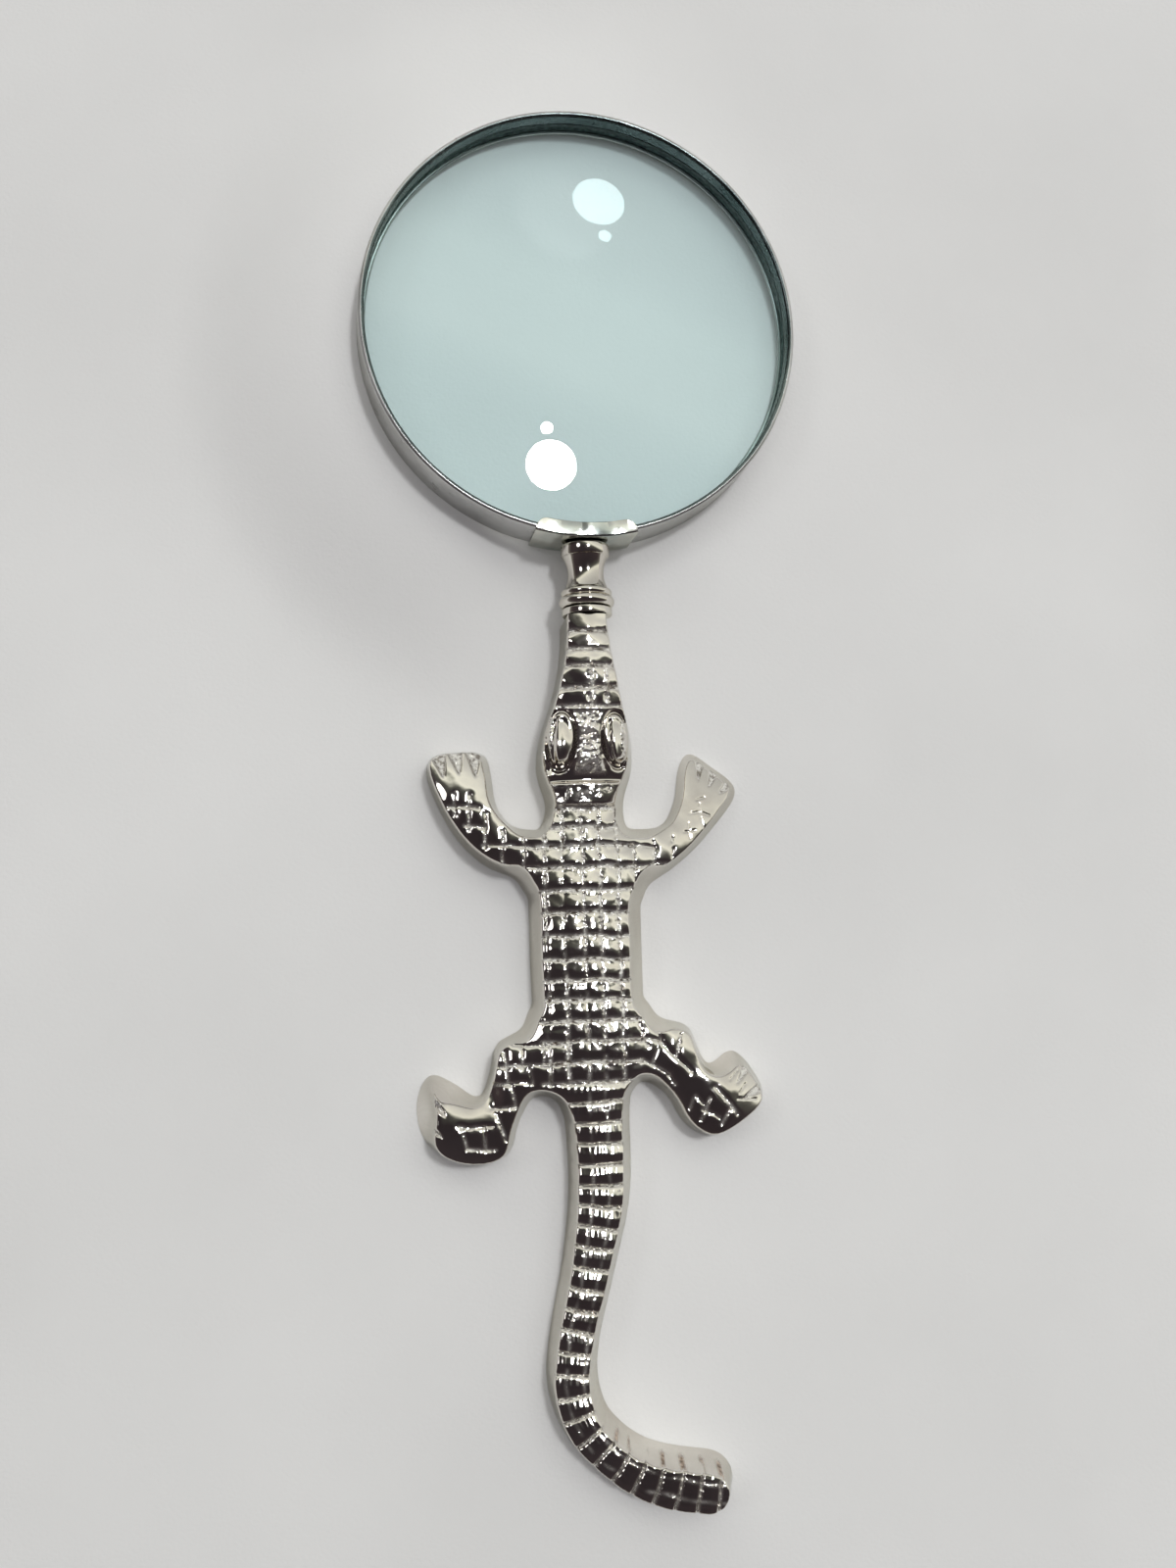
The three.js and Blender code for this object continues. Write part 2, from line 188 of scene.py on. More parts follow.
def cast_nickel():
    """Nickel plate over the casting, dull and grainy or stained brown where its attributes say so."""
    material, nodes, links, shader = new_material("cast_nickel")
    shader.inputs["Specular Tint"].default_value = WALL_TINT
    grain = point_value(nodes, "grain")
    stains = point_value(nodes, "stains")
    patches = object_noise(nodes, links, scale=70, detail=4)
    clean = ramp(nodes, links, patches, [(0.35, (0.70, 0.66, 0.61)), (0.65, (0.82, 0.79, 0.74))])
    specks = object_noise(nodes, links, scale=900, detail=4)
    dirty = ramp(nodes, links, specks, [(0.38, (0.10, 0.07, 0.05)), (0.52, (0.93, 0.92, 0.88))])
    plate = mix_colours(nodes, links, grain, clean, dirty)
    blotches = object_noise(nodes, links, scale=700, detail=3)
    rust = ramp(nodes, links, blotches, [(0.40, (0.13, 0.08, 0.05)), (0.62, (0.42, 0.32, 0.24))])
    links.new(mix_colours(nodes, links, stains, plate, rust), shader.inputs["Base Color"])

    dulled = math_node(nodes, links, "MULTIPLY", grain, 0.4)
    unplated = math_node(nodes, links, "MAXIMUM", dulled, stains)
    links.new(math_node(nodes, links, "SUBTRACT", 1.0, unplated), shader.inputs["Metallic"])

    haze = math_node(nodes, links, "MULTIPLY", object_noise(nodes, links, scale=240, detail=5), 0.07)
    rough = math_node(nodes, links, "MULTIPLY", grain, 0.14)
    base = math_node(nodes, links, "ADD", rough, 0.04)
    links.new(math_node(nodes, links, "ADD", haze, base), shader.inputs["Roughness"])

    waves = object_noise(nodes, links, scale=300, detail=2)
    ripple = bump(nodes, links, shader, waves, distance=0.07, strength=0.5)
    grit = math_node(nodes, links, "MULTIPLY", object_noise(nodes, links, scale=1500, detail=3), grain)
    bump(nodes, links, shader, grit, distance=0.35, strength=0.9, under=ripple)
    return material


def clear_glass():
    """Polished glass with a faint blue-green tint and a few smears."""
    material, nodes, links, shader = new_material("lens_glass")
    shader.inputs["Base Color"].default_value = (0.78, 0.97, 0.98, 1)
    shader.inputs["Specular IOR Level"].default_value = 0.3
    shader.inputs["Transmission Weight"].default_value = 1.0
    shader.inputs["IOR"].default_value = 1.52
    smears = object_noise(nodes, links, scale=60, detail=5)
    links.new(math_node(nodes, links, "MULTIPLY", smears, 0.02), shader.inputs["Roughness"])
    return material


def ground_edge():
    """The lens's ground rim: frosted glass coloured dark green, partly the glass's own blue-green tint and
    partly painted shade for how dark it looks from inside.
    """
    material, nodes, links, shader = new_material("lens_edge_painted_shade")
    speckle = object_noise(nodes, links, scale=1200, detail=4)
    links.new(ramp(nodes, links, speckle, [(0.4, (0.03, 0.06, 0.055)), (0.6, (0.10, 0.16, 0.15))]),
              shader.inputs["Base Color"])
    shader.inputs["Roughness"].default_value = 0.55
    return material


def floor_cloth():
    """Pale matt cloth with a fine weave-like grain and slow changes of tone."""
    material, nodes, links, shader = new_material("floor")
    tone = object_noise(nodes, links, scale=9, detail=5)
    links.new(ramp(nodes, links, tone, [(0.3, (0.70, 0.70, 0.695)), (0.7, (0.765, 0.765, 0.76))]),
              shader.inputs["Base Color"])
    shader.inputs["Roughness"].default_value = 0.95
    shader.inputs["Specular IOR Level"].default_value = 0.1
    nap = object_noise(nodes, links, scale=1100, detail=3)
    bump(nodes, links, shader, nap, distance=0.2, strength=0.35)
    return material


# ---- Mesh helpers ----

def add_piece(name, points, faces, material, body, node):
    """A smooth mesh piece from points in millimetres; it stands for the CAD node."""
    mesh = bpy.data.meshes.new(name)
    mesh.from_pydata((np.asarray(points) * MM).tolist(), [], faces)
    mesh.materials.append(material)
    mesh.update()
    mesh.shade_smooth()
    piece = bpy.data.objects.new(name, mesh)
    bpy.context.scene.collection.objects.link(piece)
    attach(piece, body)
    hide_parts(node)
    return piece


def sharpen(piece, degrees):
    """Keeps edges sharper than this angle crisp in the shading."""
    piece.data.set_sharp_from_angle(angle=math.radians(degrees))


def to_head(points):
    """From the lens's own axes to the shared frame: roll about Y, then move to the lens centre."""
    points = np.asarray(points, float)
    c, s = math.cos(HEAD_ROLL), math.sin(HEAD_ROLL)
    turned = np.stack([c * points[:, 0] + s * points[:, 2], points[:, 1],
                       c * points[:, 2] - s * points[:, 0]], axis=1)
    return turned + LENS_CENTRE


def grid_faces(rows, columns, close_rows, close_columns):
    faces = []
    for i in range(rows if close_rows else rows - 1):
        for j in range(columns if close_columns else columns - 1):
            a = i * columns + j
            b = i * columns + (j + 1) % columns
            c = ((i + 1) % rows) * columns + (j + 1) % columns
            d = ((i + 1) % rows) * columns + j
            faces.append((a, b, c, d))
    return faces


def outward(piece):
    bm = bmesh.new()
    bm.from_mesh(piece.data)
    bmesh.ops.recalc_face_normals(bm, faces=bm.faces)
    bm.to_mesh(piece.data)
    bm.free()


def sweep_arc(profiles, angles, closed):
    """Points and faces of closed (radius, z) profiles swept round the lens axis."""
    count = len(profiles[0])
    points = []
    for profile, angle in zip(profiles, angles):
        for radius, z in profile:
            points.append((radius * math.cos(angle), radius * math.sin(angle), z))
    faces = grid_faces(len(angles), count, closed, True)
    if not closed:
        faces.append(tuple(range(count)))
        faces.append(tuple(range((len(angles) - 1) * count, len(angles) * count))[::-1])
    return np.array(points), faces


def arc_points(cx, cy, radius, start, end, steps):
    angles = np.radians(np.linspace(start, end, steps + 1))
    return [(cx + radius * math.cos(a), cy + radius * math.sin(a)) for a in angles]


# ---- Lens, rim, clip, retaining ring ----

LENS_FACE_RADIUS = 400
LENS_EDGE = 4.6
LENS_CHAMFER = 0.4
SHEET = 0.7
BAND_HALF = 6.1
BAND_INSIDE = BAND_RADIUS - SHEET


def add_lens():
    steps = 40
    segments = 192
    sag = LENS_FACE_RADIUS - math.sqrt(LENS_FACE_RADIUS ** 2 - LENS_RADIUS ** 2)
    radii = (LENS_RADIUS - LENS_CHAMFER) * (1 - np.linspace(0, 1, steps + 1)[:-1])
    drop = LENS_FACE_RADIUS - np.sqrt(LENS_FACE_RADIUS ** 2 - radii ** 2)
    heights = LENS_EDGE / 2 + sag - drop
    top = list(zip(radii, heights))
    edge = [(LENS_RADIUS, LENS_CHAMFER - LENS_EDGE / 2), (LENS_RADIUS, LENS_EDGE / 2 - LENS_CHAMFER)]
    profile = [(r, -z) for r, z in reversed(top)] + edge + top
    centre = LENS_EDGE / 2 + sag
    points = [(0, 0, -centre)]
    for angle in np.linspace(0, 2 * math.pi, segments, endpoint=False):
        points += [(r * math.cos(angle), r * math.sin(angle), z) for r, z in profile]
    points.append((0, 0, centre))
    count = len(profile)
    faces = []
    for i in range(segments):
        a = 1 + i * count
        b = 1 + ((i + 1) % segments) * count
        faces += [(a + j, b + j, b + j + 1, a + j + 1) for j in range(count - 1)]
        faces.append((0, b, a))
        faces.append((a + count - 1, b + count - 1, len(points) - 1))
    piece = add_piece("lens_glass", to_head(points), faces, clear_glass(),
                      "lens_head", "lens")
    # The ground rim's faces take the dark green colour, which holds painted shade
    piece.data.materials.append(ground_edge())
    for polygon in piece.data.polygons:
        first = (polygon.vertices[0] - 1) % count
        on_edge = steps - 1 <= first <= steps + 1
        if on_edge and polygon.loop_total == 4:
            polygon.material_index = 1
    outward(piece)
    sharpen(piece, 25)
    piece.visible_shadow = False
    piece.visible_diffuse = False


def wobble(points, radius, height, waves):
    """Hand-made unevenness: a slow radial and axial waver along the hoop."""
    angle = np.arctan2(points[:, 1], points[:, 0])
    shift = np.zeros(len(points))
    lift = np.zeros(len(points))
    for k in range(2, waves):
        phase, other = RANDOM.uniform(0, 2 * math.pi, 2)
        shift += np.sin(k * angle + phase) / k
        lift += np.sin(k * angle + other) / k
    scale = 1 + radius * shift / np.hypot(points[:, 0], points[:, 1])
    return np.stack([points[:, 0] * scale, points[:, 1] * scale, points[:, 2] + height * lift], axis=1)


def add_rim():
    hem_foot = LENS_EDGE / 2 + 0.25
    hem_inside = BAND_INSIDE - SHEET
    burr = 0.12
    half_slit = 0.4
    fold = arc_points(BAND_INSIDE, BAND_HALF - SHEET, SHEET, 0, 180, 10)
    profile = [(BAND_RADIUS, -BAND_HALF + burr), (BAND_RADIUS, -2), (BAND_RADIUS, 2)] + fold
    profile += [(hem_inside, hem_foot + 0.1), (hem_inside + 0.1, hem_foot), (BAND_INSIDE, hem_foot)]
    profile += [(BAND_INSIDE, -BAND_HALF + burr), (BAND_INSIDE + burr, -BAND_HALF)]
    profile += [(BAND_RADIUS - burr, -BAND_HALF)]
    gap = half_slit / BAND_RADIUS
    angles = np.linspace(-math.pi / 2 + gap, 3 * math.pi / 2 - gap, 360)
    points, faces = sweep_arc([profile] * len(angles), angles, False)
    points = wobble(points, radius=0.05, height=0.03, waves=14)
    satin = nickel("rim_satin", bright=(0.62, 0.62, 0.62), dull=(0.50, 0.50, 0.50),
                   low_roughness=0.16, high_roughness=0.5, unevenness=0.05)
    # Painted shade: the hoop's inner faces are the same plate, coloured dark teal for the shade inside the
    # rim
    inside_painted_shade = nickel("rim_inside_painted_shade", bright=(0.20, 0.24, 0.24), dull=(0.10, 0.13, 0.13),
                    low_roughness=0.1, high_roughness=0.4, unevenness=0.05)
    piece = add_piece("rim_hoop", to_head(points), faces, satin, "lens_head", "rim_band")
    # Faces on the inside of the hoop take the painted-shade copy of the plate
    piece.data.materials.append(inside_painted_shade)
    for polygon in piece.data.polygons:
        radius = max(math.hypot(*points[i][:2]) for i in polygon.vertices)
        if radius < BAND_INSIDE + 0.1:
            polygon.material_index = 1
    outward(piece)
    sharpen(piece, 35)


def add_retaining_ring():
    wire = 0.6
    centre_radius = BAND_INSIDE - 0.3 - wire
    centre_z = -(LENS_EDGE / 2 + 0.4 + wire)
    profile = arc_points(centre_radius, centre_z, wire, 0, 360, 16)[:-1]
    opening = math.radians(4)
    angles = np.linspace(opening - math.pi / 2, 3 * math.pi / 2 - opening, 240)
    points, faces = sweep_arc([profile] * len(angles), angles, False)
    steel = nickel("ring_steel", bright=(0.55, 0.54, 0.52), dull=(0.40, 0.39, 0.38),
                   low_roughness=0.2, high_roughness=0.45, unevenness=0.02)
    piece = add_piece("spring_ring", to_head(points), faces, steel, "lens_head",
                      "lens_retaining_ring")
    outward(piece)
    sharpen(piece, 50)


def add_clip():
    """The strap over the rim's slit. Its ears get shorter towards their rounded corners."""
    inside = BAND_RADIUS + 0.25
    outside = BAND_RADIUS + 0.8
    thickness = outside - inside
    band_top = BAND_HALF + 0.22
    top = band_top + thickness
    depth = 2.9
    half = 12.0
    centre = -0.5
    corner = 2.4
    steps = 96
    arcs = np.linspace(-half, half, steps + 1)
    profiles = []
    for arc in arcs:
        past = max(0.0, abs(arc) - (half - corner)) / corner
        reach = depth - corner * (1 - math.sqrt(max(0.0, 1 - past ** 2)))
        hammer = 0.07 * math.sin(0.55 * arc + 0.7) + 0.02 * math.sin(1.6 * arc + 1)
        ear = inside - max(reach, 0.15)
        middle = (ear + inside) / 2
        upper = [(inside, band_top), (middle, band_top + hammer), (ear, band_top + 0.05)]
        over = [(ear - 0.05, top - 0.15), (ear + 0.1, top + hammer), (middle, top + 1.5 * hammer)]
        corner_top = arc_points(outside - thickness, band_top, thickness, 90, 0, 6)
        corner_low = arc_points(outside - thickness, -band_top, thickness, 0, -90, 6)
        under = [(middle, -top - hammer), (ear + 0.1, -top), (ear - 0.05, 0.15 - top)]
        lower = [(ear, -band_top - 0.05), (middle, -band_top - hammer), (inside, -band_top)]
        wall = [(outside, 0)]
        profiles.append(upper + over + corner_top + wall + corner_low + under + lower)
    angles = -math.pi / 2 + (arcs + centre) / outside
    points, faces = sweep_arc(profiles, angles, False)
    points[:, 2] += 0.05 * np.sin(0.9 * points[:, 0] + 0.4) * (np.abs(points[:, 2]) > band_top - 0.5)
    plate = nickel("clip_plate", bright=(0.76, 0.76, 0.70), dull=(0.42, 0.47, 0.46),
                   low_roughness=0.05, high_roughness=0.22, unevenness=0.05)
    piece = add_piece("clip_strap", to_head(points), faces, plate,
                      "lens_head", "saddle_clip")
    outward(piece)
    sharpen(piece, 40)


# ---- Neck, collar and stud ----

def on_neck(radius, y, angle):
    """A point at this angle round the neck's axis."""
    return (radius * math.cos(angle), y, NECK_Z + radius * math.sin(angle))


def turned_about_y(profile, segments):
    """Points and faces of a closed (radius, y) profile turned about the neck's axis."""
    count = len(profile)
    points = []
    for angle in np.linspace(0, 2 * math.pi, segments, endpoint=False):
        points += [on_neck(radius, y, angle) for radius, y in profile]
    return np.array(points), grid_faces(segments, count, True, True)


def bead(start, length, radius, bulge, steps):
    return [(radius - bulge + bulge * math.sin(math.pi * i / steps),
             start + length / 2 * (1 - math.cos(math.pi * i / steps))) for i in range(steps + 1)]


def add_neck():
    bore = 2.8
    bead_length = 2.5
    small_radius = 5.9
    small_length = 1.7
    cap_length = 2.8
    cap_radius = 5.6
    end_radius = 5.2
    cove_radius = 7.8
    seat = 3.7
    small_start = FERRULE_START + bead_length
    cove_start = small_start + small_length
    cap_start = FERRULE_END - cap_length
    half = (cap_start - cove_start) / 2
    centre = end_radius + math.sqrt(cove_radius ** 2 - half ** 2)
    cove = []
    for t in np.linspace(-half, half, 30)[1:]:
        cove.append((centre - math.sqrt(cove_radius ** 2 - t ** 2), cove_start + half + t))
    profile = bead(FERRULE_START, bead_length, BEAD_RADIUS, 1.0, 16)
    profile += bead(small_start, small_length, small_radius, 0.6, 12)[1:]
    profile += cove
    profile += [(cap_radius - 0.1, cap_start + 0.08), (cap_radius, cap_start + 0.25)]
    profile += arc_points(cap_radius - 0.4, FERRULE_END - 0.4, 0.4, 0, 90, 5)
    profile += [(seat, FERRULE_END), (seat, FERRULE_END - 1.5), (bore, FERRULE_END - 1.5)]
    profile += [(bore, FERRULE_START)]
    points, faces = turned_about_y(profile, 128)
    plate = nickel("neck_plate", bright=(0.80, 0.77, 0.71), dull=(0.70, 0.66, 0.60),
                   low_roughness=0.06, high_roughness=0.13, unevenness=0.03)
    piece = add_piece("neck_sleeve", points, faces, plate, "neck", "neck_ferrule")
    outward(piece)
    sharpen(piece, 38)
    edge = 0.25
    ring = [(bore, COLLAR_START)]
    ring += arc_points(COLLAR_RADIUS - edge, COLLAR_START + edge, edge, -90, 0, 4)
    ring += arc_points(COLLAR_RADIUS - edge, COLLAR_END - edge, edge, 0, 90, 4)
    ring += [(bore, COLLAR_END)]
    points, faces = turned_about_y(ring, 128)
    piece = add_piece("neck_collar", points, faces, plate, "neck", "collar_ring")
    outward(piece)
    sharpen(piece, 38)


def add_stud():
    """Stud with a real helical thread, a flange under the clip and a riveted tail through it."""
    pitch = 0.8
    per_turn = 48
    major = 2.5
    depth = 0.42
    flange = 3.4
    rivet = 1.2
    flange_y = LENS_CENTRE[1] - BAND_RADIUS - 1.05
    thread_end = flange_y - 1.2
    rows = int((thread_end - STUD_START) / (pitch / 10))
    ys = np.linspace(STUD_START, thread_end, rows + 1)
    tail = [(flange, thread_end), (flange, flange_y), (rivet, flange_y), (rivet, flange_y + 1.1)]
    angles = [2 * math.pi * k / per_turn for k in range(per_turn)]
    points = [(0, STUD_START, NECK_Z)]
    for y in ys:
        for k in range(per_turn):
            phase = (y - STUD_START) / pitch - k / per_turn
            cut = depth * min(1.0, 1.25 * abs(2 * (phase % 1) - 1))
            lead = min(1.0, (y - STUD_START) / 0.8)
            radius = major - cut * min(1.0, (thread_end - y) / 2 + 0.02) - 0.45 * (1 - lead)
            points.append(on_neck(radius, y, angles[k]))
    for radius, y in tail:
        points += [on_neck(radius, y, angle) for angle in angles]
    rings = rows + 1 + len(tail)
    faces = [tuple(1 + i for i in face) for face in grid_faces(rings, per_turn, False, True)]
    points.append((0, flange_y + 1.1, NECK_Z))
    last = 1 + (rings - 1) * per_turn
    for k in range(per_turn):
        after = (k + 1) % per_turn
        faces.append((0, 1 + k, 1 + after))
        faces.append((last + after, last + k, len(points) - 1))
    steel = nickel("stud_steel", bright=(0.52, 0.50, 0.47), dull=(0.36, 0.34, 0.32),
                   low_roughness=0.2, high_roughness=0.5, unevenness=0.02)
    piece = add_piece("stud_thread", points, faces, steel, "lens_head", "threaded_stud")
    outward(piece)
    sharpen(piece, 50)


# ---- Crocodile casting ----

STEP = 0.24
OUTLINE_SPACING = 0.14
SMOOTHING_PASSES = 90


def base_outline():
    """The flat back's edge, read from the CAD node, as one closed loop of points in order."""
    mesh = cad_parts["crocodile_handle"].data
    place = {}
    neighbours = {}
    edges = {}
    for polygon in mesh.polygons:
        corners = [mesh.vertices[i].co / MM for i in polygon.vertices]
        if max(abs(c.z) for c in corners) > 1e-3:
            continue
        keys = [(round(c.x, 2), round(c.y, 2)) for c in corners]
        for key, corner in zip(keys, corners):
            place[key] = (corner.x, corner.y)
        for a, b in zip(keys, keys[1:] + keys[:1]):
            if a != b:
                edge = (min(a, b), max(a, b))
                edges[edge] = edges.get(edge, 0) + 1
    for (a, b), uses in edges.items():
        if uses == 1:
            neighbours.setdefault(a, []).append(b)
            neighbours.setdefault(b, []).append(a)
    start = max(neighbours, key=lambda key: key[1])
    loop = [start]
    previous, current = None, start
    while True:
        following = [n for n in neighbours[current] if n != previous][0]
        if following == start:
            break
        loop.append(following)
        previous, current = current, following
    return np.array([place[key] for key in loop])


def resample(loop, spacing):
    closed = np.vstack([loop, loop[:1]])
    lengths = np.hypot(*np.diff(closed, axis=0).T)
    along = np.concatenate([[0], np.cumsum(lengths)])
    count = int(along[-1] / spacing)
    places = np.linspace(0, along[-1], count, endpoint=False)
    return np.stack([np.interp(places, along, closed[:, i]) for i in range(2)], axis=1)


def smooth_outline():
    """The outline with its facets rounded off, carried on past the snout's end for the cut there."""
    loop = base_outline()
    loop[loop[:, 1] > SNOUT_END - 0.5, 1] += 4
    fine = resample(loop, OUTLINE_SPACING)
    for _ in range(SMOOTHING_PASSES):
        fine = (np.roll(fine, 1, axis=0) + 2 * fine + np.roll(fine, -1, axis=0)) / 4
    fine = resample(fine, OUTLINE_SPACING)
    area = np.sum(fine[:, 0] * np.roll(fine[:, 1], -1) - np.roll(fine[:, 0], -1) * fine[:, 1])
    return fine if area > 0 else fine[::-1]


def nearest_points(line, x, y):
    """Index of the line's point that is nearest to each grid point."""
    tree = kdtree.KDTree(len(line))
    for i, (px, py) in enumerate(line):
        tree.insert((px, py, 0), i)
    tree.balance()
    return np.array([tree.find((px, py, 0))[1] for px, py in zip(x.ravel(), y.ravel())])


def signed_distance(outline, x, y):
    """Distance inwards from the outline at each grid point, and that point's foot on the outline."""
    tangent = np.roll(outline, -1, axis=0) - np.roll(outline, 1, axis=0)
    tangent /= np.hypot(*tangent.T)[:, None]
    normal = np.stack([-tangent[:, 1], tangent[:, 0]], axis=1)
    nearest = nearest_points(outline, x, y)
    offset = np.stack([x.ravel(), y.ravel()], axis=1) - outline[nearest]
    across = np.sum(offset * normal[nearest], axis=1)
    straight = np.hypot(*offset.T)
    blend = np.clip((straight - 1) / 2, 0, 1)
    distance = across * (1 - blend) + np.sign(across) * straight * blend
    foot = np.stack([x.ravel(), y.ravel()], axis=1) - across[:, None] * normal[nearest]
    return distance.reshape(x.shape), foot.reshape(*x.shape, 2)


def blur(field, passes):
    for _ in range(passes):
        padded = np.pad(field, 1, mode="edge")
        field = (padded[:-2, 1:-1] + 2 * padded[1:-1, 1:-1] + padded[2:, 1:-1]) / 4
        padded = np.pad(field, 1, mode="edge")
        field = (padded[1:-1, :-2] + 2 * padded[1:-1, 1:-1] + padded[1:-1, 2:]) / 4
    return field


def dome(distance):
    """Square root of a stretched skin over the outline: it rises like a circle's arc from the edge."""
    every = 2
    passes = 2200
    coarse = distance[::every, ::every]
    inside = coarse > 0
    load = 2 * (STEP * every) ** 2
    skin = np.zeros_like(coarse)
    for _ in range(passes):
        total = np.zeros_like(skin)
        total[1:-1, 1:-1] = skin[:-2, 1:-1] + skin[2:, 1:-1] + skin[1:-1, :-2] + skin[1:-1, 2:]
        skin = np.where(inside, (total + load) / 4, 0)
    rows = np.arange(distance.shape[0]) / every
    columns = np.arange(distance.shape[1]) / every
    wide = np.stack([np.interp(rows, np.arange(coarse.shape[0]), skin[:, j])
                     for j in range(coarse.shape[1])], axis=1)
    full = np.stack([np.interp(columns, np.arange(coarse.shape[1]), wide[i])
                     for i in range(len(rows))], axis=0)
    return np.sqrt(np.maximum(blur(full, 6), 0))


def noise(shape, passes):
    """Smooth random unevenness: the more passes, the broader it is."""
    field = blur(RANDOM.standard_normal(shape), passes)
    return field / field.std()


def smoothstep(low_value, high_value, value):
    t = np.clip((value - low_value) / (high_value - low_value), 0, 1)
    return t * t * (3 - 2 * t)


def soft_min(a, b, width):
    h = np.clip(0.5 + 0.5 * (b - a) / width, 0, 1)
    return b * (1 - h) + a * h - width * h * (1 - h)


def segment_distance(x, y, segment):
    x0, y0, x1, y1 = segment
    dx, dy = x1 - x0, y1 - y0
    t = np.clip(((x - x0) * dx + (y - y0) * dy) / (dx * dx + dy * dy), 0, 1)
    return np.hypot(x - x0 - t * dx, y - y0 - t * dy), t


# The spine's line on the back, from snout to tail tip
SPINE = [(0, 74.2), (0.2, 66), (0, 56), (-0.7, 46), (-1.3, 40), (-1.6, 31), (-2, 20), (-2.3, 8),
         (-2.3, -13), (-1.8, -28), (-1.2, -40), (-1.2, -57), (-4.2, -73), (-8, -89), (-8.7, -98),
         (-6.2, -106.5), (-1, -112.4), (5, -116.4), (12, -119), (20.8, -120.7), (28, -121.5)]
# Level that the arched top starts from, at stations of y
LEVEL = [
    (-130, 10.0), (-60, 10.2), (-35, 10.2), (-20, 9.9), (20, 10.2), (34, 11.3), (46, 12.9),
    (56, 14.4), (64, 14.9), (76, 14.9),
]
LIMB_LEVEL = 10.5
# Share of the dome that arches the top
ARCH = 0.33
# How far the drafted walls lean in, at stations of y
INSET = [
    (-130, 1.8), (-60, 1.9), (-35, 2.1), (-20, 2.9), (20, 2.9), (34, 1.9), (44, 1.5), (60, 1.4),
    (76, 1.3),
]
LIMB_INSET = 1.3
# Share by which the walls lean in less on the left side and more on the right
LEFT_LEAN = 0.25
# How steeply the top falls to the right, at stations of y
LEAN = [(-130, 0.0), (-60, 0.03), (-30, 0.07), (76, 0.08)]
# How far below the top's level the walls stop rising
WALL_MARGIN = 1.0

# Grooves across the torso and the snout, at stations of y, and along the torso, at stations of x
ROWS = [29.6, 25.6, 21.3, 16.4, 11.2, 6.2, 0.9, -4.2, -9.0, -13.2, -17.8, -22.3, -27.0]
COLUMNS = [-11.7, -7.6, -3.2, 0.6, 4.8]
SNOUT_GROOVES = [70.2, 66.0, 62.1, 57.0, 52.7]
RING_START = -31.5
RING_SPACING = 4.55
# Eyes: middle x, y, half width, half length, lean
EYES = [(-7.3, 45.2, 3.1, 6.3, 0.05), (5.4, 45.2, 2.9, 5.9, -0.05)]
NOSTRILS = [(-0.6, 55.0), (3.3, 55.0)]
JAW_KNOBS = [(9.2, 38.2), (-10.6, 37.2)]

# Chased lines on the limbs: x0, y0, x1, y1
LEFT_ARM_LINES = [
    (-13, 21.4, -25.6, 22.0), (-13, 16.6, -20.2, 16.8), (-16.5, 15.0, -16.3, 24.5),
    (-21.0, 18.2, -20.8, 25.2), (-25.0, 21.5, -24.7, 29.5), (-25.0, 26.2, -29.6, 26.8),
    (-26.2, 30.7, -33.0, 31.0), (-28.7, 25.6, -28.0, 33.6), (-31.6, 29.4, -31.4, 33.6),
]
RIGHT_ARM_LINES = [
    (8, 21.0, 13.4, 20.6), (8, 16.4, 16.8, 16.8), (8.8, 12.4, 8.8, 21.6), (13.4, 13.6, 13.4, 22.0),
    (18.0, 17.8, 18.1, 20.6), (17.8, 22.2, 17.9, 23.0),
]
LEFT_LEG_LINES = [
    (-10, -22.8, -20.0, -22.7), (-10, -27.1, -24.2, -27.3), (-17.0, -31.2, -24.4, -31.2),
    (-20.0, -36.2, -25.3, -36.0), (-21.9, -24.0, -21.0, -31.0), (-18.0, -22.6, -17.8, -28.0),
    (-16.2, -28, -16.0, -31.5), (-13.0, -21.6, -12.9, -27.2), (-20.3, -31.6, -19.8, -36.4),
    (-32.4, -39.8, -25.0, -40.3), (-31.7, -40.0, -30.6, -44.8), (-30.6, -44.8, -24.3, -45.5),
    (-26.8, -40.4, -26.5, -45.2), (-24.0, -37.4, -22.0, -43.4),
]
RIGHT_LEG_LINES = [
    (8.6, -18.8, 10.0, -24.0), (9.0, -26.8, 14.6, -30.6), (14.6, -30.6, 16.0, -32.8),
    (12.8, -23.0, 19.8, -30.2), (11.4, -19.2, 13.0, -22.4), (12.8, -23.0, 11.2, -27.6),
    (18.0, -21.6, 16.4, -26.0), (7.6, -22.0, 12.6, -22.8), (20.4, -35.4, 22.4, -37.8),
    (24.8, -33.4, 29.8, -40.0), (21.8, -38.4, 25.6, -40.4), (28.2, -38.2, 26.2, -41.8),
    (19.8, -36.0, 19.0, -38.4), (23.6, -36.0, 21.6, -41.0),
]
FINE_LINES = [
    (22.3, 28.4, 24.4, 28.7), (24.9, 28.2, 24.9, 31.0), (25.6, 28.6, 27.2, 27.8),
    (25.6, 25.2, 25.2, 27.6), (20.8, 24.2, 23.4, 24.6), (21.8, 24.8, 21.9, 26.2),
    (22.2, 22.6, 21.6, 24.3), (24.2, 31.6, 26.0, 32.2), (-39.6, -32.6, -36.6, -36.0),
    (-40.0, -38.4, -36.2, -42.0), (28.6, -32.2, 32.4, -28.2), (30.6, -35.2, 32.0, -33.0),
    (30.0, -36.6, 34.6, -36.8),
]
